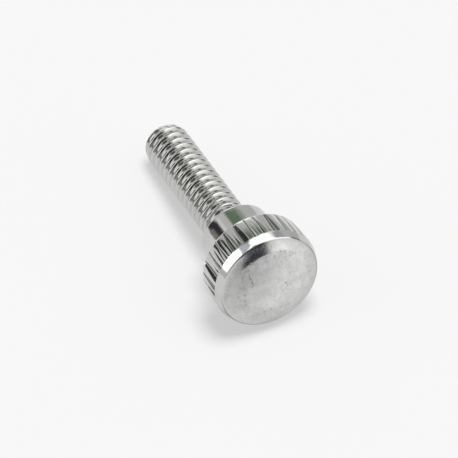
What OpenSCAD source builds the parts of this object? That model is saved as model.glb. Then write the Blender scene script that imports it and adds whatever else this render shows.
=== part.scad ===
// Thumb screw: knurled head, plain shoulder and threaded shank, all one piece of steel.
// It lies on its side. The back of the knurled band and the end of the thread
// touch the ground, so the axis rises a little towards the head.
// The shank is drawn at the thread's major diameter, so it is the thread's envelope.

/* [Thread] */
// Major diameter of the thread
thread_d = 6.3; // [5:0.05:8]
// Length of the thread, from the tip to the shoulder
thread_len = 22.2; // [15:0.1:40]
// Diameter of the flat end at the tip
tip_d = 4.6; // [3:0.1:4.9]
// Length over which the end rounds in from the major diameter to the tip
tip_round = 2; // [0.5:0.1:3]

/* [Shoulder] */
// Diameter of the plain shoulder
shoulder_d = 9.9; // [8.5:0.1:12]
// Length of the plain shoulder
shoulder_len = 5.2; // [2:0.1:10]
// Broken edge around the shoulder's bearing face
shoulder_edge = 0.2; // [0.05:0.05:0.5]

/* [Head] */
// Diameter of the head over the knurl
head_d = 14.6; // [13:0.1:20]
// Length of the knurled band, from the head's back face to the bevel
band_len = 4.25; // [3:0.05:8]
// How far the rounded back edge runs in from the band's diameter
back_round_r = 0.45; // [0.1:0.05:0.6]
// How far the rounded back edge runs along the band
back_round_len = 1.4; // [0.3:0.1:1.6]
// Length of the smooth bevel in front of the knurl
bevel_len = 1.1; // [0.5:0.05:2]
// How far the bevel runs in from the band's diameter
bevel_in = 0.42; // [0.1:0.02:0.8]

/* [Face] */
// Diameter of the low dome in the middle of the face
dome_d = 10.2; // [6:0.1:12]
// Rise of the sloping ring between the bevel's edge and the dome
ring_rise = 0.65; // [0.2:0.05:1.2]
// Rise of the dome above the ring
dome_rise = 0.25; // [0.1:0.05:0.8]

/* [Knurl] */
// Number of main grooves around the head, with a tapering groove between each two
grooves = 30; // [20:1:36]
// Depth of a main groove
groove_depth = 0.26; // [0.1:0.02:0.4]
// Width of a main groove at the band's diameter
groove_w = 0.34; // [0.1:0.02:0.5]
// Depth of a tapering groove at the bevel, from nothing at the back
scoop_depth = 0.2; // [0.1:0.02:0.3]
// Width of a tapering groove at the bevel
scoop_w = 0.5; // [0.2:0.02:0.6]
// Plain land left between the grooves' square ends and the bevel
land = 0.06; // [0.04:0.02:0.3]
// Angle of the first main groove from the underside of the head
groove_start = 8.5; // [0:0.5:12]

/* [Hidden] */
$fn = 96;
eps = 0.2;

thread_r = thread_d / 2;
shoulder_r = shoulder_d / 2;
head_r = head_d / 2;
rim_r = head_r - bevel_in;
dome_r = dome_d / 2;

// heights along the screw's own axis, from the tip
z_shoulder = thread_len;
z_head = z_shoulder + shoulder_len;
z_bevel = z_head + band_len;
z_rim = z_bevel + bevel_len;
z_dome = z_rim + ring_rise;
z_top = z_dome + dome_rise;

// quarter ellipse from the head's back face out to the band
back_edge = [for (i = [0:5]) let (a = 90 * i / 5)
    [head_r - back_round_r * (1 - sin(a)), z_head + back_round_len * (1 - cos(a))]];
// arc of the dome, from its edge to the axis
ball_r = (dome_r * dome_r + dome_rise * dome_rise) / (2 * dome_rise);
dome_arc = [for (i = [0:7]) let (r = dome_r * (1 - i / 8))
    [r, z_top - ball_r + sqrt(ball_r * ball_r - r * r)]];

// quarter ellipse from the tip's flat end out to the thread's major diameter
tip_points = [for (i = [0:6]) let (a = 90 * i / 6)
    [tip_d / 2 + (thread_r - tip_d / 2) * sin(a), tip_round * (1 - cos(a))]];
profile = concat(
    [[0, 0]], tip_points,
    [[thread_r, z_shoulder],
     [shoulder_r - shoulder_edge, z_shoulder],
     [shoulder_r, z_shoulder + shoulder_edge],
     [shoulder_r, z_head]],
    back_edge,
    [[head_r, z_bevel], [rim_r, z_rim]],
    dome_arc,
    [[0, z_top]]);

// height of a profile point over the ground line when the axis rises by the angle t
function height(p, t) = p[1] * sin(t) - p[0] * cos(t);
function lowest(points, t) = min([for (p = points) height(p, t)]);
// the rise at which the tip and the head touch the same ground, by halving
function rest_angle(lo = 0, hi = 45, n = 40) =
    let (mid = (lo + hi) / 2)
    n == 0 ? mid
    : lowest(back_edge, mid) > lowest(tip_points, mid) ? rest_angle(lo, mid, n - 1)
    : rest_angle(mid, hi, n - 1);

rise = rest_angle();
ground = lowest(tip_points, rise);
// the dome's far point and the tip's far point set the middle of the length
x_front = max([for (p = profile) p[1] * cos(rise) + p[0] * sin(rise)]);
x_back = min([for (p = profile) p[1] * cos(rise) - p[0] * sin(rise)]);

// straight V groove along the band, with a square end at the bevel
module main_groove() {
    w = groove_w / 2 * (groove_depth + eps) / groove_depth;
    translate([0, 0, z_head - eps])
        linear_extrude(height = band_len + eps - land)
            polygon([[head_r - groove_depth, 0], [head_r + eps, w], [head_r + eps, -w]]);
}

// shallow V groove that starts at the back of the band and deepens to the bevel
module taper_groove() {
    run = band_len - back_round_len / 3;
    lean = atan(scoop_depth / run);
    w = scoop_w / 2 * (scoop_depth + eps) / scoop_depth;
    translate([head_r, 0, z_bevel - run])
        rotate([0, -lean, 0])
            linear_extrude(height = (run - land) / cos(lean))
                polygon([[0, 0], [scoop_depth + eps, w], [scoop_depth + eps, -w]]);
}

module knurl() {
    for (i = [0:grooves - 1]) {
        rotate([0, 0, groove_start + i * 360 / grooves]) main_groove();
        rotate([0, 0, groove_start + (i + 0.5) * 360 / grooves]) taper_groove();
    }
}

module blank() {
    rotate_extrude() polygon(profile);
}

module thumb_screw() {
    color("silver")
        translate([-(x_front + x_back) / 2, 0, -ground])
            rotate([0, 90 - rise, 0])
                difference() {
                    blank();
                    knurl();
                }
}

thumb_screw();
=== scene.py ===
# Thumb screw: the finished look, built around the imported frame.
# Lengths in the mesh code are in millimetres on the screw's own axis; P() turns them into the frame's metres.
import math

import bpy
import numpy as np
from mathutils import Matrix, Vector


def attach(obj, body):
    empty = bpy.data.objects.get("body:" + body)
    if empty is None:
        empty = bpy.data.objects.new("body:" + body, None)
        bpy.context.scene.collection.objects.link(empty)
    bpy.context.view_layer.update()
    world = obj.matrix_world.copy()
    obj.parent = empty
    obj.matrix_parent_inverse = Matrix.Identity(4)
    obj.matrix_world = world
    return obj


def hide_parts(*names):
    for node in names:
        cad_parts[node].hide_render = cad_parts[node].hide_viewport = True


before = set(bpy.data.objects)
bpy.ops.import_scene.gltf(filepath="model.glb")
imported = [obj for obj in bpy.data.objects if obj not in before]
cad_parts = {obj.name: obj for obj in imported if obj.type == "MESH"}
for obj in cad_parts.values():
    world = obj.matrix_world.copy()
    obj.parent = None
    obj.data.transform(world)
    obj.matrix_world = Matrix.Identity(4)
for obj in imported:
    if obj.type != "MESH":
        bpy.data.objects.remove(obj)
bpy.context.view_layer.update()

scene = bpy.context.scene
RNG = np.random.default_rng(4127)

# ------------------------------------------------------------------ camera
cam_data = bpy.data.cameras.new("cam")
cam = bpy.data.objects.new("cam", cam_data)
scene.collection.objects.link(cam)
scene.camera = cam
right = Vector((0.429951, 0.902852, 0.0)).normalized()
forward = Vector((-0.598759, 0.285137, -0.748455)).normalized()
up = right.cross(forward).normalized()
back = -forward
cam.matrix_world = Matrix((
    (right.x, up.x, back.x, 0.563893),
    (right.y, up.y, back.y, -0.266877),
    (right.z, up.z, back.z, 0.706216),
    (0, 0, 0, 1),
))
cam_data.sensor_fit = "HORIZONTAL"
cam_data.sensor_width = 36.0
cam_data.lens = 563.06
cam_data.clip_start = 0.01
cam_data.clip_end = 20.0

# ------------------------------------------------------------------ the screw's own axes
RISE = math.radians(8.789)
AX = np.array([math.cos(RISE), 0.0, math.sin(RISE)])
E1 = np.array([math.sin(RISE), 0.0, -math.cos(RISE)])
E2 = np.array([0.0, 1.0, 0.0])
C0 = np.array([-16.71781, 0.0, 2.857875])


def P(s, r, psi):
    """Points in metres for axial place s, radius r (mm) and angle psi (degrees, 0 down, 90 towards +Y)."""
    s, r, psi = np.broadcast_arrays(*(np.asarray(x, float) for x in (s, r, psi)))
    a = np.radians(psi)
    p = (C0 + s[..., None] * AX
         + (r * np.cos(a))[..., None] * E1
         + (r * np.sin(a))[..., None] * E2)
    return p / 1000.0


def smooth(x, a, b):
    t = np.clip((np.asarray(x, float) - a) / (b - a), 0, 1)
    return t * t * (3 - 2 * t)


def wave(psi, seed, lo, hi, amp):
    """A smooth closed ripple around the axis, the same on every run."""
    g = np.random.default_rng(seed)
    out = np.zeros_like(np.asarray(psi, float))
    for n in range(lo, hi + 1):
        out = out + g.normal() * np.cos(np.radians(n * np.asarray(psi)) + g.uniform(0, 2 * np.pi))
    return amp * out / math.sqrt(hi - lo + 1)


class Skin:
    """Points and faces of one closed skin, with a few values per point for the finish and for the painted shade."""

    def __init__(self):
        self.co, self.faces, self.matte, self.cavity, self.pit = [], [], [], [], []

    # the third value darkens the colour as painted shade in hollows, in corners and along the head's lower front edge
    def points(self, co, matte=0.0, cavity=0.0, pit=0.0):
        co = np.asarray(co, float).reshape(-1, 3)
        first = len(self.co)
        self.co.extend(map(tuple, co))
        self.matte.extend(np.broadcast_to(np.asarray(matte, float), (len(co),)).tolist())
        self.cavity.extend(np.broadcast_to(np.asarray(cavity, float), (len(co),)).tolist())
        self.pit.extend(np.broadcast_to(np.asarray(pit, float), (len(co),)).tolist())
        return list(range(first, first + len(co)))

    def face(self, idx):
        out = []
        for i in idx:
            if not out or out[-1] != i:
                out.append(i)
        if len(out) > 1 and out[0] == out[-1]:
            out.pop()
        if len(set(out)) == len(out) >= 3:
            self.faces.append(tuple(out))

    def loft(self, a, b):
        """Quads between two rings of the same count, b further along the axis."""
        n = len(a)
        for i in range(n):
            j = (i + 1) % n
            self.face((a[i], a[j], b[j], b[i]))

    def zip(self, a, pa, b, pb):
        """Triangles between two rings with different counts; pa and pb are their angles in degrees, rising."""
        na, nb = len(a), len(b)
        pa = np.asarray(pa, float); pb = np.asarray(pb, float)
        j0 = int(np.argmin(np.abs((pb - pa[0] + 180) % 360 - 180)))
        off = (pb[j0] - pa[0] + 180) % 360 - 180
        ua = (pa - pa[0]) % 360
        ub = ((np.roll(pb, -j0) - pb[j0]) % 360) + off
        rb = list(np.roll(np.asarray(b), -j0))
        i = j = 0
        while i < na or j < nb:
            nxa = ua[i + 1] if i + 1 < na else ua[0] + 360
            nxb = ub[j + 1] if j + 1 < nb else ub[0] + 360
            if j >= nb or (i < na and nxa <= nxb):
                self.face((a[i % na], a[(i + 1) % na], rb[j % nb])); i += 1
            else:
                self.face((a[i % na], rb[(j + 1) % nb], rb[j % nb])); j += 1


skin = Skin()

# ------------------------------------------------------------------ thread: 1/4 in, 20 to the inch, right hand
PITCH = 1.27
R_MAJ = 3.15
L_THREAD = 22.2
DEPTH = 0.74
CREST = 0.12             # half the crest's width, in pitches
PHASE = 0.61             # where a crest meets psi = 0, in pitches
N_TH = 144
U = [0.0, 0.05, 0.078, 0.104, 0.14, 0.20, 0.27, 0.34, 0.385, 0.425, 0.46, 0.5]
ROWS = sorted(set([round(u, 4) for u in U] + [round(1 - u, 4) for u in U if 0 < u < 0.5]))
M = len(ROWS)


def thread_depth(u):
    """How far below the crest the thread lies, u in pitches from a crest's middle."""
    u = np.abs((u + 0.5) % 1.0 - 0.5)
    d = (u - CREST) * PITCH / math.tan(math.radians(30))
    k = 0.07                                   # rounds the crest's shoulders
    d = np.where(d > -k, np.where(d < k, (d + k) ** 2 / (4 * k), d), 0.0)
    k2 = 0.16                                  # rounds the root
    h = np.clip(0.5 + 0.5 * (d - DEPTH) / k2, 0, 1)
    return d * (1 - h) + DEPTH * h - k2 * h * (1 - h)


def envelope(s):
    """Radius of the uncut shank with its rounded tip."""
    t = np.clip((2.0 - s) / 2.0, 0, 1)
    return 2.3 + (R_MAJ - 2.3) * np.sqrt(np.clip(1 - t * t, 0, 1))


psi_th = np.arange(N_TH) * 360.0 / N_TH
jmin, jmax = -4 * M, int(L_THREAD / PITCH + 4) * M
S_LO, S_HI = 0.03, L_THREAD - 0.02
low = skin.points(P(0.03, envelope(0.03) - 0.02, psi_th))
col, lead = [], []
for i, a in enumerate(psi_th):
    ids = []
    for j in range(jmin, jmax):
        s = PITCH * (j // M + ROWS[j % M] + a / 360.0 + PHASE)
        ids.append(s)
    col.append(ids)
col = np.array(col)                                             # axial place of every grid point
u_all = col / PITCH - (psi_th[:, None] / 360.0 + PHASE)
depth = thread_depth(u_all)
fade = 1 - smooth(col, L_THREAD - 1.15, L_THREAD - 0.1)
depth_here = depth * fade
env = envelope(col)
# the crest is not perfect: small dents and a slow ripple
ripple = (0.006 * np.sin(2.3 * col + np.radians(psi_th)[:, None] * 2)
          + 0.005 * np.sin(5.1 * col - np.radians(psi_th)[:, None] * 3))
r_cut = R_MAJ - depth_here - 0.012 + ripple * 0.6
k = 0.05
h = np.clip(0.5 + 0.5 * (env - r_cut) / k, 0, 1)
r_th = env * (1 - h) + r_cut * h - k * h * (1 - h)
# painted shade: the colour is darkened down into the thread's roots, and at the thread's end by the shoulder
cav = np.clip((R_MAJ - r_th) / DEPTH, 0, 1) * smooth(col, 0.4, 1.6)
high = skin.points(P(S_HI, r_th[:, 0] * 0 + R_MAJ - 0.02, psi_th), cavity=0.3)
grid = -np.ones(col.shape, int)
for i in range(N_TH):
    inside = (col[i] > S_LO + 0.02) & (col[i] < S_HI - 0.02)
    ids = skin.points(P(col[i][inside], r_th[i][inside], psi_th[i]), cavity=cav[i][inside])
    grid[i, inside] = ids
    grid[i, (~inside) & (col[i] <= S_LO + 0.02)] = low[i]
    grid[i, (~inside) & (col[i] >= S_HI - 0.02)] = high[i]
for i in range(N_TH):
    i2 = (i + 1) % N_TH
    shift = 0 if i2 else M                      # one turn on, the same place is a pitch further along
    for j in range(jmax - jmin - 1 - M):
        jj = j + shift
        skin.face((grid[i, j], grid[i2, jj], grid[i2, jj + 1], grid[i, j + 1]))

# tip: a flat, slightly crowned end with a broken edge
rings = [(0.012, 2.24), (0.0, 2.12), (0.0, 1.7), (0.004, 1.2), (0.006, 0.7), (0.007, 0.3)]
prev, prev_psi = low, psi_th
for s, r in rings:
    n = N_TH if r > 1.5 else (66 if r > 0.9 else (33 if r > 0.5 else 12))
    ang = np.arange(n) * 360.0 / n
    ring = skin.points(P(s, r + wave(ang, 5, 2, 5, 0.01), ang))
    if n == len(prev):
        skin.loft(ring, prev)
    else:
        skin.zip(ring, ang, prev, prev_psi)
    prev, prev_psi = ring, ang
mid = skin.points(P(0.008, 0.0, 0.0))[0]
for i in range(len(prev)):
    skin.face((mid, prev[(i + 1) % len(prev)], prev[i]))

# ------------------------------------------------------------------ shoulder face and collar
N_C = 360
psi_c = np.arange(N_C) * 1.0
collar = [
    (22.20, 3.30), (22.205, 3.9), (22.20, 4.55), (22.205, 4.72), (22.235, 4.82), (22.29, 4.90), (22.37, 4.945),
    (22.50, 4.955), (23.6, 4.95), (24.8, 4.95), (26.0, 4.95), (27.10, 4.95), (27.24, 4.96), (27.33, 4.99),
    (27.385, 5.05), (27.40, 5.14), (27.402, 5.6), (27.40, 6.3),
]
# painted shade in the corner where the thread meets the shoulder face
ring0 = skin.points(P(22.195, 3.19, psi_c), cavity=0.8)
skin.zip(high, psi_th, ring0, psi_c)
prev = ring0
for s, r in collar:
    rr = r + (wave(psi_c, 11, 2, 9, 0.004) if 22.45 < s < 27.2 else 0)
    # painted shade in the rounded corner under the head's back face
    cv = 0.5 if 27.2 < s < 27.5 and r < 5.2 else 0.0
    ring = skin.points(P(s, rr, psi_c), cavity=cv)
    skin.loft(prev, ring)
    prev = ring

# ------------------------------------------------------------------ knurled head
GROOVES = 30
STEP = 360.0 / GROOVES
START = 8.5
R_HEAD = 7.3
S_END = 31.65            # where the bevel starts
MM = math.degrees(1.0 / R_HEAD)       # degrees for one millimetre of the rim
# Each groove is a V that widens as the band rises out of the rounded back edge; no two are quite alike.
g_mid = START + STEP * np.arange(GROOVES) + RNG.uniform(-0.45, 0.45, GROOVES)
g_mid[[12, 13, 14, 15, 16, 17, 18, 19, 20, 21]] = [149.8, 163.3, 176.4, 187.2, 199.0, 212.1, 224.8, 237.6, 250.5, 263.6]
g_left = 28.0 + RNG.uniform(-2.0, 2.0, GROOVES)       # slope of the wall that rises with psi, degrees
g_right = 23.5 + RNG.uniform(-1.5, 1.5, GROOVES)      # and of the one that falls
g_left[[18, 20, 21]] = [19.0, 32.5, 33.5]
g_right[[16, 13]] = [23.0, 23.5]
g_left, g_right = np.tan(np.radians(g_left)), np.tan(np.radians(g_right))
g_slit = RNG.uniform(0.09, 0.14, GROOVES)
g_slit[20] = 0.02
g_twin = np.where(RNG.uniform(size=GROOVES) < 0.45, RNG.uniform(0.02, 0.05, GROOVES), 0.0)   # a second, faint strike
g_twin[[15, 16]] = 0.05
g_twin[[17, 18, 20, 21]] = 0.0
g_from = RNG.uniform(28.6, 30.0, GROOVES)
g_off = RNG.uniform(-0.5, 0.9, GROOVES)


def band_r(s):
    """Radius of the uncut band: a low barrel that runs down into the rounded back edge."""
    u = np.clip((31.5 - s) / 3.9, 0, 2)
    c = np.clip((27.8 - s) / 0.4, 0, 1)
    return R_HEAD - 0.19 * u ** 1.7 - 0.24 * (1 - np.sqrt(1 - c * c))


g_deep = RNG.uniform(0.45, 1.0, GROOVES)             # how far the wheel went in, groove by groove
g_deep[[12, 13, 14, 15, 16, 17, 18, 19, 20, 21]] = [0.8, 1.0, 0.5, 0.45, 1.0, 0.95, 0.5, 0.5, 1.4, 0.85]
g_mark = RNG.uniform(0.0, 0.06, GROOVES)             # a lesser strike on the land after each groove
g_mark[[12, 13, 14, 15, 16, 17, 18, 19, 20]] = [0.0, 0.03, 0.05, 0.0, 0.06, 0.06, 0.05, 0.045, 0.0]


def knurl_row(s):
    """Angles, radii and painted groove shade of one ring of the knurl at axial place s."""
    top = float(band_r(s))
    ang, rad, cut = [], [], []
    edges = []
    for k in range(GROOVES):
        h = max(top - (R_HEAD - 0.27 * g_deep[k]), 0.05) * float(smooth(s, 27.45, 27.8))
        edges.append((max(h / g_right[k] * MM, 0.10), max(h / g_left[k] * MM, 0.10), h))
    for k in range(GROOVES):
        wr, wl, h = edges[k]
        live = min(h / 0.05, 1.0)
        c = g_mid[k]
        a, b = min(0.95, wr * 0.38), min(0.95, wl * 0.38)
        tw = (min(1.65, wl * 0.48), min(2.0, wl * 0.58), min(2.35, wl * 0.68))
        for off in (-wr - 0.30, -wr, -wr * 0.72, -wr * 0.45, -a, -a * 0.6, 0.0, b * 0.6, b, tw[0], tw[1], tw[2],
                    wl * 0.85, wl, wl + 0.30):
            slope = g_right[k] if off < 0 else g_left[k]
            wall = top - edges[k][2] + abs(off) / MM * slope
            r = min(top, wall)
            inner = a if off < 0 else b
            if abs(off) < inner * 0.99:
                r -= g_slit[k] * live * (1.0 if off == 0 else 0.62)
            if off == tw[1]:
                r -= g_twin[k] * live
            if abs(off) > (wr if off < 0 else wl) * 1.001:
                r += 0.008 * live                       # the lip the wheel throws up
            ang.append(c + off)
            rad.append(r)
            # painted shade down the groove's walls, darkest in the slit at its bottom
            cut.append(live * (min(0.5, max(top - r, 0) / 0.20) + (0.9 if abs(off) < inner * 0.99 else 0.0)))
        k2 = (k + 1) % GROOVES
        nxt = g_mid[k2] + (360.0 if k2 == 0 else 0.0)
        lo, hi = c + wl + 0.30, nxt - edges[k2][0] - 0.30
        mid = min(max((c + nxt) / 2 + g_off[k], lo + 0.30 * (hi - lo)), hi - 0.30 * (hi - lo))
        fade = float(np.clip((s - g_from[k]) / (31.5 - g_from[k]), 0, 1))
        hw = min(0.45 + 1.0 * fade, 0.9 * (mid - lo), 0.9 * (hi - mid))
        for off, d in ((-hw, 0.0), (-hw * 0.35, 0.6), (0.0, 1.0), (hw * 0.35, 0.6), (hw, 0.0)):
            ang.append(mid + off)
            rad.append(top - d * g_mark[k] * (0.25 * float(smooth(s, 28.2, 28.8)) + 0.75 * fade))
            # painted shade along the lesser strike
            cut.append(0.7 * d * (0.3 + 0.7 * fade) if g_mark[k] > 0.02 else 0.0)
    return np.array(ang), np.array(rad), np.array(cut)


rows = [27.402, 27.42, 27.46, 27.53, 27.63, 27.77, 27.95, 28.2, 28.5, 28.9, 29.4, 29.9, 30.4, 30.9, 31.25, 31.48, 31.575]
first = True
for s in rows:
    ang, rad, cut = knurl_row(s)
    ring = skin.points(P(s, rad, ang), cavity=cut)
    if first:
        skin.zip(prev, psi_c, ring, ang)
        first = False
    else:
        skin.loft(prev, ring)
    prev = ring
ang, rad, cut = knurl_row(31.575)
for s, share in ((31.60, 0.50), (31.615, 0.0), (31.65, 0.0)):
    prof = R_HEAD - (0.012 if s > 31.64 else 0.002)
    ring = skin.points(P(s, prof + np.minimum(rad - prof, 0) * share, ang), cavity=cut * share)
    skin.loft(prev, ring)
    prev = ring
# bevel, its crisp front edge, and the outer part of the ring
edge = 6.88
front = [
    (31.70, R_HEAD - 0.025, 0.0), (31.95, R_HEAD - 0.120, 0.0), (32.25, R_HEAD - 0.232, 0.0), (32.55, R_HEAD - 0.345, 0.0),
    (32.69, edge + 0.014, 0.0), (32.73, edge - 0.008, 0.0), (32.765, edge - 0.05, 0.0), (32.79, edge - 0.12, 0.05),
]
knurl_ang, ang = ang, np.arange(400) * 0.9
for i, (s, r, mt) in enumerate(front):
    rr = r + wave(ang, 21, 2, 7, 0.004) * smooth(s, 31.7, 32.2)
    # painted shade: the very edge is darkened, most of all away from the top, standing in for the shadowed floor it
    # reflects under the head
    lower_edge_shade = 1.7 * smooth(s, 32.60, 32.72) * smooth(-np.cos(np.radians(ang - 203.0)), -0.55, 0.1)
    ring = skin.points(P(s, rr, ang), matte=mt, cavity=lower_edge_shade * (1.0 if s < 32.78 else 0.4))
    if i:
        skin.loft(prev, ring)
    else:
        skin.zip(prev, knurl_ang, ring, ang)
    prev = ring

# ------------------------------------------------------------------ face: a sloping ring around a low dome
R_DOME, S_DOME = 5.1, 33.4
RAD = (R_DOME ** 2 + 0.25 ** 2) / (2 * 0.25)


def face_s(r):
    """Axial place of the head's front at radius r."""
    slope = (S_DOME - 32.79) / (edge - 0.12 - R_DOME)
    ring_part = S_DOME - (r - R_DOME) * slope - 0.02 * np.sin(np.clip((r - R_DOME) / (edge - 0.12 - R_DOME), 0, 1) * np.pi)
    dome_part = 33.65 - RAD + np.sqrt(np.maximum(RAD * RAD - r * r, 0))
    k = 0.09
    h = np.clip(0.5 + 0.5 * (ring_part - dome_part) / k, 0, 1)
    return ring_part * (1 - h) + dome_part * h - k * h * (1 - h)


MARKS = [   # small pits on the face: right and up of its middle in mm, size, depth share
    (-3.95, -1.15, 0.12, 0.55), (-3.85, -1.3, 0.08, 0.4), (-3.8, -1.9, 0.13, 0.5), (-3.5, -2.3, 0.09, 0.4),
    (1.95, -0.4, 0.10, 1.0), (2.1, -1.0, 0.09, 0.7), (1.85, -1.3, 0.09, 0.5), (1.5, -1.55, 0.08, 0.5),
    (1.05, 0.55, 0.10, 0.35), (1.45, 0.7, 0.08, 0.35), (-1.35, -4.05, 0.11, 0.6), (-0.4, -3.95, 0.11, 0.6),
    (-1.35, -4.9, 0.09, 0.4), (2.6, 1.05, 0.10, 0.4), (4.1, -0.35, 0.10, 0.4), (5.25, 0.7, 0.11, 0.4),
    (5.55, -0.2, 0.10, 0.4), (5.9, -1.5, 0.09, 0.6), (0.65, 4.2, 0.09, 0.5), (0.8, 4.45, 0.09, 0.55),
    (1.6, 3.35, 0.10, 0.5), (1.8, 2.9, 0.09, 0.4), (2.5, 3.1, 0.09, 0.4), (-1.05, 3.95, 0.09, 0.4),
    (-0.5, 4.2, 0.11, 0.45), (0.85, -2.65, 0.10, 0.3), (0.15, -2.0, 0.11, 0.3), (1.1, -4.2, 0.11, 0.3),
    (3.65, -2.3, 0.11, 0.3), (2.95, 3.7, 0.10, 0.4), (-2.8, 0.85, 0.10, 0.7), (-3.2, 1.7, 0.10, 0.5),
    (-3.2, 1.0, 0.09, 0.45), (-4.35, 1.2, 0.08, 0.35), (-2.65, 3.0, 0.10, 0.45), (-2.95, 2.2, 0.10, 0.9),
    (-2.75, 1.5, 0.12, 1.0),
]
_m = np.random.default_rng(911)
for _ in range(190):
    rr, aa = 6.3 * math.sqrt(_m.uniform(0.0, 1.0)), _m.uniform(0, 2 * np.pi)
    MARKS.append((rr * math.cos(aa), rr * math.sin(aa), _m.uniform(0.035, 0.065), _m.uniform(0.15, 0.6)))
for _ in range(60):     # the tumbled speckle just inside the ring's upper edge
    aa = math.radians(_m.uniform(40, 165))
    rr = _m.normal(4.95, 0.22)
    MARKS.append((rr * math.cos(aa), rr * math.sin(aa), _m.uniform(0.04, 0.08), _m.uniform(0.3, 0.8)))
SCRATCHES = [((-3.05, 2.9), (-2.6, 1.0), 0.085, 1.0), ((-3.5, 0.95), (-4.9, 0.8), 0.05, 0.22),
             ((-1.9, -1.2), (-2.7, -0.4), 0.05, 0.15), ((1.0, 0.5), (1.6, 0.78), 0.05, 0.35),
             ((1.25, -0.7), (1.35, -1.5), 0.05, 0.35), ((0.5, 0.1), (0.5, -1.0), 0.05, 0.25),
             ((1.2, 3.0), (2.0, 3.7), 0.06, 0.30), ((4.9, 1.2), (5.35, -0.4), 0.06, 0.25)]


def face_marks(r, psi):
    """How strongly a pit or a scratch marks the face, 0 to 1."""
    x = r * np.sin(np.radians(psi)); y = -r * np.cos(np.radians(psi))
    out = np.zeros_like(x)
    for mx, my, size, d in MARKS:
        q = ((x - mx) ** 2 + (y - my) ** 2) / (1.7 * size * size)
        out = np.maximum(out, d * np.exp(-q))
    for (ax, ay), (bx, by), size, d in SCRATCHES:
        vx, vy = bx - ax, by - ay
        u = np.clip(((x - ax) * vx + (y - ay) * vy) / (vx * vx + vy * vy), 0, 1)
        wob = 0.05 * np.sin(9 * u + ax) + 0.03 * np.sin(23 * u)
        q = ((x - ax - u * vx - wob) ** 2 + (y - ay - u * vy) ** 2) / (size * size)
        out = np.maximum(out, d * np.exp(-q) * (0.55 + 0.45 * np.sin(17 * u + 1) ** 2))
    return out


def face_bumps(r, psi):
    """The small unevenness of a tumbled face, in mm."""
    x = r * np.cos(np.radians(psi)); y = r * np.sin(np.radians(psi))
    g = np.random.default_rng(77)
    out = np.zeros_like(x)
    for n in range(30):
        f = g.uniform(0.5, 5.0); a = g.uniform(0, 2 * np.pi)
        out = out + np.sin(f * (x * np.cos(a) + y * np.sin(a)) + g.uniform(0, 2 * np.pi)) / (1 + f * f)
    return 0.0016 * out


def face_ring(r, ang, soft=1.0):
    r = np.broadcast_to(float(r), ang.shape)
    m = face_marks(r, ang) * soft
    s = face_s(r) + face_bumps(r, ang) * soft - 0.012 * m
    # the ring is brighter and smoother than the dome; the change between them is ragged
    x = r * np.cos(np.radians(ang)); y = r * np.sin(np.radians(ang))
    rag = 0.16 * np.sin(3.1 * x + 1.2 * y) + 0.12 * np.sin(5.3 * y - 2.2 * x + 1) + 0.07 * np.sin(11 * x + 7 * y)
    mt = 0.32 + 0.68 * (1 - smooth(r + rag, 4.6, 5.5))
    return skin.points(P(s, r, ang), matte=mt * (0.35 + 0.65 * soft), cavity=0.0, pit=m)


radii = [6.70, 6.58, 6.44, 6.28, 6.12, 5.96, 5.80, 5.65, 5.52, 5.40, 5.29, 5.19]
prev_ang = ang
for r in radii:
    ring = face_ring(r, ang, float(1 - smooth(r, 6.3, 6.75)))
    skin.loft(prev, ring)
    prev = ring
plan = [(300, np.linspace(5.08, 3.3, 20)), (200, np.linspace(3.2, 1.8, 15)), (120, np.linspace(1.72, 0.85, 11)),
        (60, np.linspace(0.78, 0.36, 6)), (24, np.array([0.2]))]
for n, rs in plan:
    a2 = np.arange(n) * 360.0 / n
    for r in rs:
        ring = face_ring(r, a2)
        if len(ring) == len(prev):
            skin.loft(prev, ring)
        else:
            skin.zip(prev, prev_ang, ring, a2)
        prev, prev_ang = ring, a2
mid = skin.points(P(33.65, 0.0, 0.0), matte=1.0)[0]
for i in range(len(prev)):
    skin.face((prev[i], prev[(i + 1) % len(prev)], mid))

# ------------------------------------------------------------------ the piece
mesh = bpy.data.meshes.new("thumb_screw_finish")
mesh.from_pydata(skin.co, [], skin.faces)
mesh.validate(verbose=False)
mesh.update()
for name, values in (("matte", skin.matte), ("cavity", skin.cavity), ("pit", skin.pit)):
    at = mesh.attributes.new(name, "FLOAT", "POINT")
    at.data.foreach_set("value", np.asarray(values, np.float32))
for p in mesh.polygons:
    p.use_smooth = True
mesh.set_sharp_from_angle(angle=math.radians(38))
screw = bpy.data.objects.new("thumb_screw_finish", mesh)
scene.collection.objects.link(screw)

# ------------------------------------------------------------------ bright plated steel
mat = bpy.data.materials.new("plated_steel_bright")
mat.use_nodes = True
nt = mat.node_tree
N, L = nt.nodes, nt.links
N.clear()


def node(kind, **kw):
    n = N.new(kind)
    for key, v in kw.items():
        setattr(n, key, v)
    return n


def math_node(op, a, b=None, clamp=False):
    n = node("ShaderNodeMath", operation=op, use_clamp=clamp)
    for i, v in enumerate((a, b)):
        if v is None:
            continue
        if isinstance(v, (int, float)):
            n.inputs[i].default_value = v
        else:
            L.new(v, n.inputs[i])
    return n.outputs[0]


def ramp(value, lo, hi, out_lo=0.0, out_hi=1.0):
    n = node("ShaderNodeMapRange", interpolation_type="SMOOTHSTEP")
    L.new(value, n.inputs["Value"])
    n.inputs["From Min"].default_value = lo
    n.inputs["From Max"].default_value = hi
    n.inputs["To Min"].default_value = out_lo
    n.inputs["To Max"].default_value = out_hi
    return n.outputs["Result"]


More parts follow.
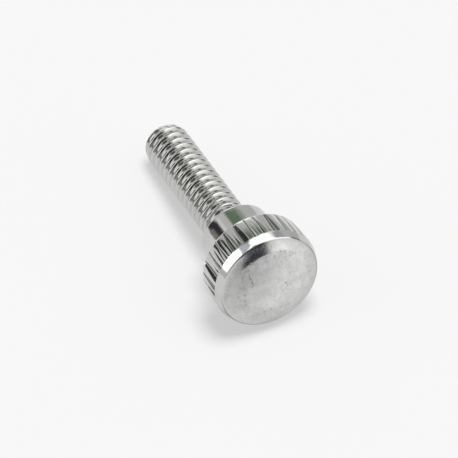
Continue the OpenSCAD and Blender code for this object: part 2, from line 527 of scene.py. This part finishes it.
out = node("ShaderNodeOutputMaterial")
bsdf = node("ShaderNodeBsdfPrincipled")
L.new(bsdf.outputs[0], out.inputs[0])
bsdf.inputs["Metallic"].default_value = 1.0
coord = node("ShaderNodeTexCoord").outputs["Object"]
matte = node("ShaderNodeAttribute", attribute_name="matte").outputs["Fac"]
cavity = node("ShaderNodeAttribute", attribute_name="cavity").outputs["Fac"]
pit_at = node("ShaderNodeAttribute", attribute_name="pit").outputs["Fac"]


def noise(scale, detail=3.0, rough=0.55):
    n = node("ShaderNodeTexNoise")
    L.new(coord, n.inputs["Vector"])
    n.inputs["Scale"].default_value = scale
    n.inputs["Detail"].default_value = detail
    n.inputs["Roughness"].default_value = rough
    return n.outputs["Fac"]


def cells(scale, feature="F1"):
    n = node("ShaderNodeTexVoronoi", feature=feature)
    L.new(coord, n.inputs["Vector"])
    n.inputs["Scale"].default_value = scale
    return n.outputs["Distance"]


turn = node("ShaderNodeMapping")                        # fine lines left by turning, round the axis
L.new(coord, turn.inputs["Vector"])
turn.inputs["Rotation"].default_value = (0.0, math.radians(8.789), 0.0)
parts = node("ShaderNodeSeparateXYZ")
L.new(turn.outputs[0], parts.inputs[0])
turned = ramp(parts.outputs[0], 0.00605, 0.00625)       # not on the thread
stretch = node("ShaderNodeMapping")
L.new(turn.outputs[0], stretch.inputs["Vector"])
stretch.inputs["Scale"].default_value = (6500.0, 260.0, 260.0)
lines_n = node("ShaderNodeTexNoise")
L.new(stretch.outputs[0], lines_n.inputs["Vector"])
lines_n.inputs["Scale"].default_value = 1.0
lines_n.inputs["Detail"].default_value = 2.0
lines = math_node("MULTIPLY", lines_n.outputs["Fac"], turned)
cloud = noise(220.0, 4.0)
grain = noise(2600.0, 3.0)
fine = noise(7000.0, 2.0)
pit = ramp(cells(900.0), 0.10, 0.20, 1.0, 0.0)
pit_where = ramp(noise(600.0, 2.0), 0.50, 0.62)
pits = math_node("MAXIMUM", math_node("MULTIPLY", math_node("MULTIPLY", pit, pit_where), math_node("MULTIPLY", matte, 0.5)), pit_at)

rough_base = ramp(cloud, 0.3, 0.7, 0.05, 0.11)
rough_face = ramp(grain, 0.3, 0.7, 0.30, 0.42)
mixr = node("ShaderNodeMix", data_type="FLOAT")
L.new(matte, mixr.inputs["Factor"])
L.new(rough_base, mixr.inputs["A"])
L.new(rough_face, mixr.inputs["B"])
L.new(mixr.outputs["Result"], bsdf.inputs["Roughness"])

col_a = node("ShaderNodeMix", data_type="RGBA")
L.new(ramp(cloud, 0.3, 0.7), col_a.inputs["Factor"])
col_a.inputs["A"].default_value = (0.54, 0.54, 0.525, 1)
col_a.inputs["B"].default_value = (0.60, 0.60, 0.585, 1)
col_m = node("ShaderNodeMix", data_type="RGBA")         # the tumbled face is a little whiter
L.new(ramp(matte, 0.05, 0.35), col_m.inputs["Factor"])
L.new(col_a.outputs["Result"], col_m.inputs["A"])
col_f = node("ShaderNodeMix", data_type="RGBA")
# painted shade: the face's colour is darker most at its upper left, a little towards its lower edge and above its
# middle, standing in for the darker reflections there; a random mottle of tone is mixed in


def away(y, z):
    """How far a place on the face is from (y, z), in metres, seen along the axis."""
    dy = math_node("SUBTRACT", parts.outputs[1], y)
    dz = math_node("SUBTRACT", parts.outputs[2], z)
    return math_node("SQRT", math_node("ADD", math_node("MULTIPLY", dy, dy), math_node("MULTIPLY", dz, dz)))


# side is the painted shade mask of the face: low where its colour is painted darkest
side = ramp(away(-0.00453, 0.008333), 0.001, 0.0074)
side = math_node("MULTIPLY", side, ramp(away(0.000328, 0.007152), 0.004, 0.0075, 1.0, 0.5))
side = math_node("MULTIPLY", side, ramp(away(-0.0019, 0.01033), 0.0005, 0.0026, 0.3, 1.0))
mottle = ramp(noise(430.0, 8.0, 0.78), 0.34, 0.66)
L.new(math_node("ADD", math_node("MULTIPLY", side, 0.62), math_node("MULTIPLY", mottle, 0.38)), col_f.inputs["Factor"])
col_f.inputs["A"].default_value = (0.36, 0.36, 0.355, 1)
col_f.inputs["B"].default_value = (0.75, 0.75, 0.745, 1)
L.new(col_f.outputs["Result"], col_m.inputs["B"])
# painted shade: the colour is pulled towards dark grey (0.20) in the thread roots, the corners, the knurl grooves and
# along the head's lower front edge
col_b = node("ShaderNodeMix", data_type="RGBA")
L.new(math_node("MULTIPLY", cavity, 0.5, clamp=True), col_b.inputs["Factor"])
L.new(col_m.outputs["Result"], col_b.inputs["A"])
col_b.inputs["B"].default_value = (0.20, 0.205, 0.20, 1)
col_c = node("ShaderNodeMix", data_type="RGBA")
L.new(math_node("MULTIPLY", pits, 0.88), col_c.inputs["Factor"])
L.new(col_b.outputs["Result"], col_c.inputs["A"])
col_c.inputs["B"].default_value = (0.15, 0.15, 0.155, 1)
L.new(col_c.outputs["Result"], bsdf.inputs["Base Color"])

fine = math_node("ADD", math_node("MULTIPLY", fine, math_node("ADD", 0.08, math_node("MULTIPLY", turned, 0.17))), math_node("MULTIPLY", lines, math_node("SUBTRACT", 0.55, math_node("MULTIPLY", matte, 0.5))))
height = math_node("ADD", fine, math_node("MULTIPLY", grain, math_node("MULTIPLY", matte, 0.75)))
height = math_node("SUBTRACT", height, math_node("MULTIPLY", pits, 1.0))
bump = node("ShaderNodeBump")
bump.inputs["Strength"].default_value = 0.35
bump.inputs["Distance"].default_value = 0.00002
L.new(height, bump.inputs["Height"])
L.new(bump.outputs[0], bsdf.inputs["Normal"])
mesh.materials.append(mat)

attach(screw, "root")
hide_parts("thumb_screw")

# ------------------------------------------------------------------ floor
fm = bpy.data.meshes.new("floor")
n = 96
pts, fcs = [(0.0, 0.0, 0.0)], []
radii_f = [0.03, 0.08, 0.2, 0.5, 1.2]
for rr in radii_f:
    for i in range(n):
        a = 2 * math.pi * i / n
        pts.append((rr * math.cos(a), rr * math.sin(a), 0.0))
for i in range(n):
    fcs.append((0, 1 + i, 1 + (i + 1) % n))
for q in range(len(radii_f) - 1):
    for i in range(n):
        a, b = 1 + q * n + i, 1 + q * n + (i + 1) % n
        fcs.append((a, a + n, b + n, b))
fm.from_pydata(pts, [], fcs)
fm.update()
floor = bpy.data.objects.new("floor", fm)
scene.collection.objects.link(floor)
fmat = bpy.data.materials.new("floor_paper")
fmat.use_nodes = True
fb = fmat.node_tree.nodes["Principled BSDF"]
fb.inputs["Base Color"].default_value = (0.10, 0.10, 0.10, 1)
fb.inputs["Roughness"].default_value = 1.0
fb.inputs["Specular IOR Level"].default_value = 0.0
fb.inputs["Emission Color"].default_value = (1.0, 1.0, 1.0, 1)
fb.inputs["Emission Strength"].default_value = 0.524     # a sheet lit from all round, so its shadows stay light
fm.materials.append(fmat)

# ------------------------------------------------------------------ studio light, set by direction
world = bpy.data.worlds.new("studio")
scene.world = world
world.use_nodes = True
wt = world.node_tree
wt.nodes.clear()
w_out = wt.nodes.new("ShaderNodeOutputWorld")
w_bg = wt.nodes.new("ShaderNodeBackground")
wt.links.new(w_bg.outputs[0], w_out.inputs[0])
w_dir = wt.nodes.new("ShaderNodeTexCoord").outputs["Generated"]


def w_math(op, a, b=None, clamp=False):
    q = wt.nodes.new("ShaderNodeMath")
    q.operation = op
    q.use_clamp = clamp
    for i, v in enumerate((a, b)):
        if v is None:
            continue
        if isinstance(v, (int, float)):
            q.inputs[i].default_value = v
        else:
            wt.links.new(v, q.inputs[i])
    return q.outputs[0]


def w_dot(vec):
    q = wt.nodes.new("ShaderNodeVectorMath")
    q.operation = "DOT_PRODUCT"
    wt.links.new(w_dir, q.inputs[0])
    q.inputs[1].default_value = tuple(vec)
    return q.outputs["Value"]


def w_step(v, lo, hi):
    q = wt.nodes.new("ShaderNodeMapRange")
    q.interpolation_type = "SMOOTHSTEP"
    wt.links.new(v, q.inputs["Value"])
    q.inputs["From Min"].default_value = lo
    q.inputs["From Max"].default_value = hi
    return q.outputs["Result"]


def panel_mask(az, el, half_w, half_h, soft, roll=0.0):
    """1 inside a rectangle seen from the object: its middle's azimuth and elevation, its half sizes in degrees."""
    a, e = math.radians(az), math.radians(el)
    c = Vector((math.cos(e) * math.cos(a), math.cos(e) * math.sin(a), math.sin(e)))
    h = Vector((-math.sin(a), math.cos(a), 0.0))
    v = c.cross(h).normalized()
    if roll:
        m = Matrix.Rotation(math.radians(roll), 3, c)
        h, v = m @ h, m @ v
    dc = w_dot(c)
    safe = w_math("MAXIMUM", dc, 0.02)
    x = w_math("ABSOLUTE", w_math("DIVIDE", w_dot(h), safe))
    y = w_math("ABSOLUTE", w_math("DIVIDE", w_dot(v), safe))
    tw, th, ts = (math.tan(math.radians(q)) for q in (half_w, half_h, soft))
    mx = w_math("SUBTRACT", 1.0, w_step(x, max(tw - ts, 0), tw + ts))
    my = w_math("SUBTRACT", 1.0, w_step(y, max(th - ts, 0), th + ts))
    front = w_step(dc, 0.02, 0.08)
    return w_math("MULTIPLY", w_math("MULTIPLY", mx, my), front)


def w_mix(fac, a, b):
    q = wt.nodes.new("ShaderNodeMix")
    q.data_type = "RGBA"
    wt.links.new(fac, q.inputs["Factor"])
    for sock, v in (("A", a), ("B", b)):
        if isinstance(v, tuple):
            q.inputs[sock].default_value = v + (1.0,)
        else:
            wt.links.new(v, q.inputs[sock])
    return q.outputs["Result"]


g = lambda v: (v, v, v)
up_z = w_dot((0, 0, 1))
sky = w_mix(w_step(up_z, 0.0, 0.9), g(0.66), g(0.75))
PANELS = [
    # azimuth, elevation, half width, half height, softness, colour
    (66, 52, 42, 24, 5, (1.95, 1.95, 1.92)),      # key box, to the right and behind
    (140, 82, 48, 12, 4, (2.1, 2.1, 2.1)),        # its overhead part
    (150, 52, 22, 9, 5, (1.25, 1.25, 1.24)),      # pale wall behind
    (172, 66, 10, 4, 3, (0.42, 0.42, 0.42)),
    (-140, 47, 20, 8, 4, (0.42, 0.42, 0.42)),     # dark ceiling, left
    (-141, 57, 15, 11, 3, (0.09, 0.09, 0.09)),
    (-122, 68, 9, 5, 3, (0.48, 0.50, 0.55)),
    (-66, 74, 38, 14, 5, (0.27, 0.27, 0.26)),     # dark ceiling, camera side
    (-112, 63, 8, 8, 3, (0.70, 0.73, 0.80)),      # pale blue-grey gap beside it
    (-140, 77, 16, 4.5, 2, (1.9, 1.9, 1.9)),
    (131, 66, 9, 7, 3, (1.9, 1.9, 1.88)),
    (-62, 36, 14, 14, 6, (0.60, 0.60, 0.58)),     # left box, its dim edge
    (-84, 27, 14, 15, 6, (1.05, 1.05, 1.03)),
    (-129, 23, 14, 15, 4, (1.8, 1.8, 1.8)),       # left box
    (-104, 33, 9, 22, 4, (2.7, 2.7, 2.7)),
    (126, 22, 22, 22, 5, (0.64, 0.64, 0.63)),     # grey wall, right and behind
    (111, 43, 7, 9, 4, (0.50, 0.50, 0.54)),
    (170, 12, 10, 13, 4, (1.6, 1.6, 1.6)),        # white, low behind
    (157, 31, 8, 5, 3, (0.36, 0.41, 0.33)),       # dull green, behind
    (174, 38, 12, 7, 3, (0.165, 0.235, 0.155)),
    (4, 52, 12, 9, 4, (0.28, 0.28, 0.27)),        # dark room around the camera
    (-14, 50, 14, 9, 4, (0.13, 0.13, 0.12)),
    (-10, 32, 21, 9, 4, (0.035, 0.035, 0.035)),
    (-23, 20.5, 13, 11.5, 2.5, (0.035, 0.035, 0.03)),
    (-48, 12, 16, 9, 4, (0.17, 0.17, 0.15)),      # dark band low on the left
    (81, 12, 24, 9, 4, (0.21, 0.205, 0.175)),     # dark band low on the right
    (-21, 6, 12, 9, 6, (0.33, 0.33, 0.325)),      # dim, in front to the left
    (3, 7, 14, 10, 3, (0.022, 0.026, 0.045)),       # dark, straight in front of the head
    (36, 12, 15, 18, 9, (1.3, 1.3, 1.28)),        # low white card
    (-151, 27, 4.5, 3.5, 2, (0.95, 0.95, 0.95)),
    (-143, 13, 6, 12, 2.5, (0.045, 0.045, 0.05)), # narrow dark stand
    (-135.5, 4, 1.8, 8, 1, (0.30, 0.25, 0.20)),   # its brown side
]
sky_now = sky
for az, el, hw, hh, sf, colr in PANELS:
    sky_now = w_mix(panel_mask(az, el, hw, hh, sf), sky_now, colr)
wt.links.new(sky_now, w_bg.inputs["Color"])
w_bg.inputs["Strength"].default_value = 1.0

# a broad lamp that only the floor takes light from, for the screw's soft shadow
lamp_data = bpy.data.lights.new("floor_lamp", "SUN")
lamp_data.energy = 9.7
lamp_data.angle = math.radians(26)
lamp = bpy.data.objects.new("floor_lamp", lamp_data)
scene.collection.objects.link(lamp)
la, le = math.radians(95), math.radians(83.5)
toward = Vector((math.cos(le) * math.cos(la), math.cos(le) * math.sin(la), math.sin(le)))
lamp.rotation_euler = toward.to_track_quat("Z", "Y").to_euler()
only = bpy.data.collections.new("floor_lamp_on")
only.objects.link(floor)
lamp.light_linking.receiver_collection = only

scene.view_settings.view_transform = "Standard"
scene.view_settings.look = "None"
scene.view_settings.exposure = 0.0
scene.view_settings.gamma = 1.0

bpy.context.view_layer.update()
